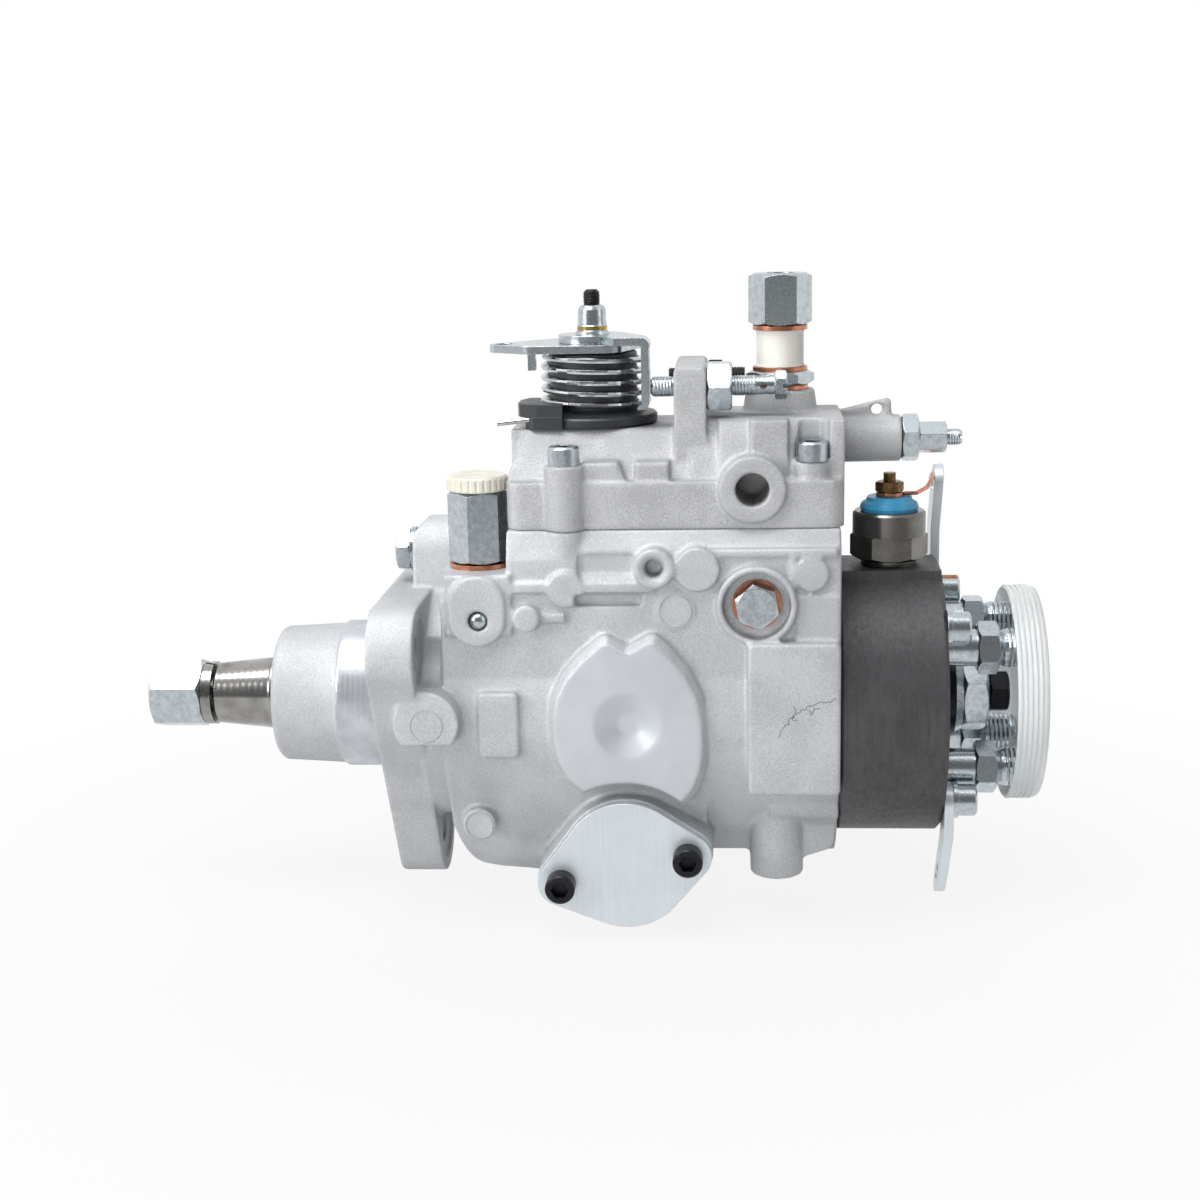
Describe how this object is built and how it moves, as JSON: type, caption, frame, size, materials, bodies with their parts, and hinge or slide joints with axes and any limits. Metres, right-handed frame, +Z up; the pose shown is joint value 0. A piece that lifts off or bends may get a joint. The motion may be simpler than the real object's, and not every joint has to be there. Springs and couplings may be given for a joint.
{
  "type": "diesel injection pump",
  "caption": "Flange-mounted distributor type diesel injection pump with tapered drive shaft, sprung control lever, stop solenoid, timer cover and capped outlet unions",
  "frame": {"origin": "on the pump axis, at the face of the flange that seats on the engine", "axes": "+X along the pump axis from the flange to the outlets, so the drive end is at -X; +Z up towards the control lever; -Y is the side with the fuel inlet"},
  "size_m": [0.3018, 0.1142, 0.2057],
  "materials": {
    "cast_aluminium": "die-cast, fine grain",
    "cover_aluminium": "die-cast, fine grain",
    "zinc_steel": "bright zinc plated",
    "machined_steel": "turned and ground",
    "blackened_steel": "blackened, matt",
    "tool_steel": "hardened and ground",
    "black_oxide": "black oxide, oiled",
    "black_plastic": "moulded, matt",
    "white_plastic": "moulded, translucent white",
    "ivory_plastic": "moulded, ivory",
    "bronze": "turned",
    "copper": "bright copper",
    "seal_rubber": "moulded"
  },
  "bodies": {
    "root": {"pump_housing": "cast_aluminium", "shaft_seal": "seal_rubber", "shaft_bush": "bronze", "supply_ring": "tool_steel", "supply_plate": "tool_steel", "inner_springs": "zinc_steel", "distributor_barrel": "tool_steel", "governor_shaft": "machined_steel", "lever_pivot": "machined_steel", "governor_cover": "cover_aluminium", "cover_screws": "zinc_steel", "spring_seat": "black_plastic", "return_spring": "zinc_steel", "stop_screws": "zinc_steel", "full_load_screw": "zinc_steel", "overflow_union": "zinc_steel", "distributor_head": "blackened_steel", "head_screws": "zinc_steel", "centre_plug": "zinc_steel", "delivery_unions": "zinc_steel", "straps": "zinc_steel", "solenoid": "machined_steel", "terminal_wire": "copper", "timer_covers": "zinc_steel", "timer_screws": "black_oxide", "inlet_union": "zinc_steel", "housing_plugs": "zinc_steel"},
    "drive_train": {"drive_shaft": "machined_steel", "shaft_key": "tool_steel", "lock_washer": "machined_steel", "shaft_nut": "zinc_steel", "supply_rotor": "tool_steel", "drive_gear": "tool_steel", "cross_disc": "tool_steel"},
    "cam_plunger": {"cam_disc": "tool_steel", "plunger": "tool_steel"},
    "yoke": {"spring_yoke": "tool_steel"},
    "governor_drum": {"flyweight_carrier": "machined_steel"},
    "weight_1": {"flyweight_1": "machined_steel"},
    "weight_2": {"flyweight_2": "machined_steel"},
    "weight_3": {"flyweight_3": "machined_steel"},
    "weight_4": {"flyweight_4": "machined_steel"},
    "sleeve": {"sliding_sleeve": "machined_steel"},
    "governor_arm": {"governor_lever": "tool_steel"},
    "collar": {"control_collar": "tool_steel"},
    "piston": {"timer_piston": "tool_steel"},
    "rollers": {"roller_ring": "tool_steel", "cam_rollers": "tool_steel", "timer_pin": "tool_steel"},
    "control": {"lever_shaft": "machined_steel", "stop_bracket": "zinc_steel", "control_arm": "zinc_steel", "lever_nut": "zinc_steel"},
    "armature": {"solenoid_armature": "tool_steel"},
    "valve_1": {"delivery_valve_1": "tool_steel"},
    "valve_2": {"delivery_valve_2": "tool_steel"},
    "valve_3": {"delivery_valve_3": "tool_steel"},
    "valve_4": {"delivery_valve_4": "tool_steel"},
    "inlet_plug": {"inlet_cap": "ivory_plastic"},
    "outlet_cap": {"delivery_cap": "white_plastic"}
  },
  "joints": [
    {"name": "shaft_turn", "type": "hinge", "parent": "root", "child": "drive_train", "pos_m": [0, 0, 0], "axis": [1, 0, 0], "continuous": true},
    {"name": "plunger_lift", "type": "slide", "parent": "drive_train", "child": "cam_plunger", "axis": [1, 0, 0], "range_m": [-0.0022, 0]},
    {"name": "yoke_slide", "type": "slide", "parent": "root", "child": "yoke", "axis": [1, 0, 0], "range_m": [-0.0022, 0]},
    {"name": "governor_spin", "type": "hinge", "parent": "root", "child": "governor_drum", "pos_m": [0.055, 0, 0.05015], "axis": [1, 0, 0], "continuous": true},
    {"name": "sleeve_slide", "type": "slide", "parent": "root", "child": "sleeve", "axis": [1, 0, 0], "range_m": [0, 0.002]},
    {"name": "governor_lever_turn", "type": "hinge", "parent": "root", "child": "governor_arm", "pos_m": [0.1155, 0, 0.03], "axis": [0, 1, 0], "range_deg": [0, 5.8]},
    {"name": "collar_slide", "type": "slide", "parent": "root", "child": "collar", "axis": [1, 0, 0], "range_m": [-0.00195, 0]},
    {"name": "timer_slide", "type": "slide", "parent": "root", "child": "piston", "axis": [0, 1, 0], "range_m": [-0.005, 0]},
    {"name": "ring_turn", "type": "hinge", "parent": "root", "child": "rollers", "pos_m": [0.078, 0, 0], "axis": [1, 0, 0], "range_deg": [-6.6, 0]},
    {"name": "control_turn", "type": "hinge", "parent": "root", "child": "control", "pos_m": [0.0696, -0.005, 0.1], "axis": [0, 0, 1], "range_deg": [-40, 0], "stiffness_Nm_per_rad": 0.25, "springref_deg": 34.38},
    {"name": "armature_lift", "type": "slide", "parent": "root", "child": "armature", "axis": [0, 0, 1], "range_m": [0, 0.0012], "stiffness_N_per_m": 1200, "springref_m": -0.001},
    {"name": "inlet_cap_pull", "type": "slide", "parent": "root", "child": "inlet_plug", "axis": [0, 0, 1], "range_m": [0, 0.012]},
    {"name": "delivery_cap_pull", "type": "slide", "parent": "root", "child": "outlet_cap", "axis": [1, 0, 0], "range_m": [0, 0.03]},
    {"name": "weight_1_swing", "type": "hinge", "parent": "governor_drum", "child": "weight_1", "pos_m": [0.0648, 0, 0.06515], "axis": [0, -1, 0], "range_deg": [0, 15.6]},
    {"name": "weight_2_swing", "type": "hinge", "parent": "governor_drum", "child": "weight_2", "pos_m": [0.0648, -0.015, 0.05015], "axis": [0, 0, -1], "range_deg": [0, 15.6]},
    {"name": "weight_3_swing", "type": "hinge", "parent": "governor_drum", "child": "weight_3", "pos_m": [0.0648, 0, 0.03515], "axis": [0, 1, 0], "range_deg": [0, 15.6]},
    {"name": "weight_4_swing", "type": "hinge", "parent": "governor_drum", "child": "weight_4", "pos_m": [0.0648, 0.015, 0.05015], "axis": [0, 0, 1], "range_deg": [0, 15.6]},
    {"name": "valve_1_lift", "type": "slide", "parent": "root", "child": "valve_1", "axis": [1, 0, 0], "range_m": [0, 0.0015], "stiffness_N_per_m": 1800, "springref_m": -0.001},
    {"name": "valve_2_lift", "type": "slide", "parent": "root", "child": "valve_2", "axis": [1, 0, 0], "range_m": [0, 0.0015], "stiffness_N_per_m": 1800, "springref_m": -0.001},
    {"name": "valve_3_lift", "type": "slide", "parent": "root", "child": "valve_3", "axis": [1, 0, 0], "range_m": [0, 0.0015], "stiffness_N_per_m": 1800, "springref_m": -0.001},
    {"name": "valve_4_lift", "type": "slide", "parent": "root", "child": "valve_4", "axis": [1, 0, 0], "range_m": [0, 0.0015], "stiffness_N_per_m": 1800, "springref_m": -0.001}
  ],
  "couplings": [
    {"joint": "yoke_slide", "follows": "plunger_lift", "ratio": 1},
    {"joint": "governor_spin", "follows": "shaft_turn", "ratio": -1.2692},
    {"joint": "governor_lever_turn", "follows": "sleeve_slide", "rad_per_m": 49.63},
    {"joint": "collar_slide", "follows": "sleeve_slide", "ratio": -0.96},
    {"joint": "ring_turn", "follows": "timer_slide", "rad_per_m": 22.7},
    {"joint": "weight_1_swing", "follows": "sleeve_slide", "rad_per_m": 135.3},
    {"joint": "weight_2_swing", "follows": "sleeve_slide", "rad_per_m": 135.3},
    {"joint": "weight_3_swing", "follows": "sleeve_slide", "rad_per_m": 135.3},
    {"joint": "weight_4_swing", "follows": "sleeve_slide", "rad_per_m": 135.3}
  ]
}
